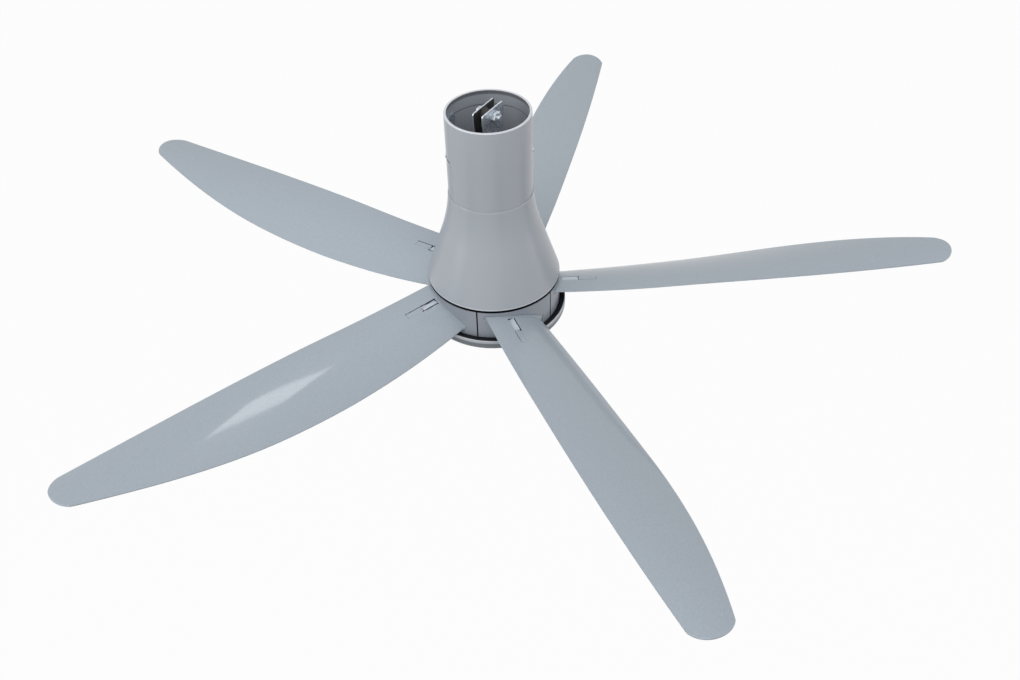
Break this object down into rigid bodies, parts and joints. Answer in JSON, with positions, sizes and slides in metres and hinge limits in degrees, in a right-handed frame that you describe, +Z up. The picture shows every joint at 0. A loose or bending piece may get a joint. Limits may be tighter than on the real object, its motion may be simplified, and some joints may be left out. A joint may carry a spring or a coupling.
{
  "type": "ceiling fan",
  "caption": "Ceiling fan with long pitched blades on a round motor hub, a flared bell cover and a sliding canopy sleeve round its hook hanger.",
  "frame": {"origin": "centre of the hanger bolt, where the roller hangs on the ceiling hook", "axes": "+Z up along the motor shaft, +X along the hanger bolt towards its nut, +Y across the hanger plates"},
  "size_m": [1.3688, 1.4302, 0.3785],
  "materials": {
    "canopy_plastic": "smooth silver-grey gloss",
    "blade_plastic": "silver-grey with a fine grain",
    "latch_plastic": "light silver-grey gloss",
    "hub_plastic": "silver-grey satin",
    "black_plastic": "matt black",
    "silver_trim": "silver-grey gloss",
    "plated_steel": "bright zinc plating",
    "hanger_rubber": "matt black",
    "sintered_bronze": "oiled",
    "bearing_steel": "ground",
    "cast_alloy": "as cast",
    "magnet": "dark grey",
    "laminated_steel": "varnished",
    "copper_coil": "enamelled",
    "box_plastic": "matt dark grey",
    "circuit_board": "green solder resist",
    "component_plastic": "matt black",
    "terminal_plastic": "white",
    "dark_lens": "dark, glossy"
  },
  "bodies": {
    "frame": {"hanger_yoke": "plated_steel", "hanger_bolt": "plated_steel", "hanger_nut": "plated_steel", "hanger_washers": "plated_steel", "split_pin": "plated_steel", "down_pipe": "plated_steel", "pipe_bolt": "plated_steel", "pipe_nut": "plated_steel", "motor_shaft": "plated_steel", "bell_cover": "canopy_plastic", "bell_carrier": "plated_steel", "bell_screws": "plated_steel", "driver_box": "box_plastic", "driver_lid": "box_plastic", "driver_board": "circuit_board", "board_components": "component_plastic", "terminal_block": "terminal_plastic", "lid_screws": "plated_steel", "stator_core": "laminated_steel", "stator_coils": "copper_coil", "upper_inner_race": "bearing_steel", "lower_inner_race": "bearing_steel", "cover_bracket": "plated_steel", "shaft_nut": "plated_steel", "bottom_cover": "silver_trim", "dust_ring": "black_plastic", "cover_screws": "plated_steel", "receiver_lens": "dark_lens", "receiver_board": "circuit_board"},
    "canopy": {"canopy_sleeve": "canopy_plastic", "canopy_strips": "plated_steel", "canopy_screws": "plated_steel"},
    "roller": {"hanger_roller": "hanger_rubber", "roller_bush": "sintered_bronze"},
    "rotor": {"rotor_cup": "cast_alloy", "rotor_lid": "cast_alloy", "rotor_magnets": "magnet", "upper_outer_race": "bearing_steel", "lower_outer_race": "bearing_steel", "bearing_balls": "bearing_steel", "blade_carrier": "cast_alloy", "hub_screws": "plated_steel", "blade_screws": "plated_steel", "latch_pins": "plated_steel", "blade_1": "blade_plastic", "hub_cover_1": "hub_plastic", "blade_2": "blade_plastic", "hub_cover_2": "hub_plastic", "blade_3": "blade_plastic", "hub_cover_3": "hub_plastic", "blade_4": "blade_plastic", "hub_cover_4": "hub_plastic", "blade_5": "blade_plastic", "hub_cover_5": "hub_plastic"},
    "latch_1": {"latch_1": "latch_plastic"},
    "latch_2": {"latch_2": "latch_plastic"},
    "latch_3": {"latch_3": "latch_plastic"},
    "latch_4": {"latch_4": "latch_plastic"},
    "latch_5": {"latch_5": "latch_plastic"}
  },
  "joints": [
    {"name": "rotor_spin", "type": "hinge", "parent": "frame", "child": "rotor", "pos_m": [0, 0, -0.3115], "axis": [0, 0, 1], "continuous": true},
    {"name": "canopy_slide", "type": "slide", "parent": "frame", "child": "canopy", "axis": [0, 0, 1], "range_m": [-0.06, 0.045]},
    {"name": "roller_spin", "type": "hinge", "parent": "frame", "child": "roller", "pos_m": [0, 0, 0], "axis": [1, 0, 0], "continuous": true},
    {"name": "latch_1_press", "type": "hinge", "parent": "rotor", "child": "latch_1", "pos_m": [0.13861, 0.08222, -0.30501], "axis": [0.5541, -0.7626, 0.3338], "range_deg": [0, 4], "stiffness_Nm_per_rad": 2.5},
    {"name": "latch_2_press", "type": "hinge", "parent": "rotor", "child": "latch_2", "pos_m": [-0.03536, 0.15723, -0.30501], "axis": [0.8965, 0.2913, 0.3338], "range_deg": [0, 4], "stiffness_Nm_per_rad": 2.5},
    {"name": "latch_3_press", "type": "hinge", "parent": "rotor", "child": "latch_3", "pos_m": [-0.16046, 0.01495, -0.30501], "axis": [0, 0.9426, 0.3338], "range_deg": [0, 4], "stiffness_Nm_per_rad": 2.5},
    {"name": "latch_4_press", "type": "hinge", "parent": "rotor", "child": "latch_4", "pos_m": [-0.06381, -0.14799, -0.30501], "axis": [-0.8965, 0.2913, 0.3338], "range_deg": [0, 4], "stiffness_Nm_per_rad": 2.5},
    {"name": "latch_5_press", "type": "hinge", "parent": "rotor", "child": "latch_5", "pos_m": [0.12103, -0.10642, -0.30501], "axis": [-0.5541, -0.7626, 0.3338], "range_deg": [0, 4], "stiffness_Nm_per_rad": 2.5}
  ]
}
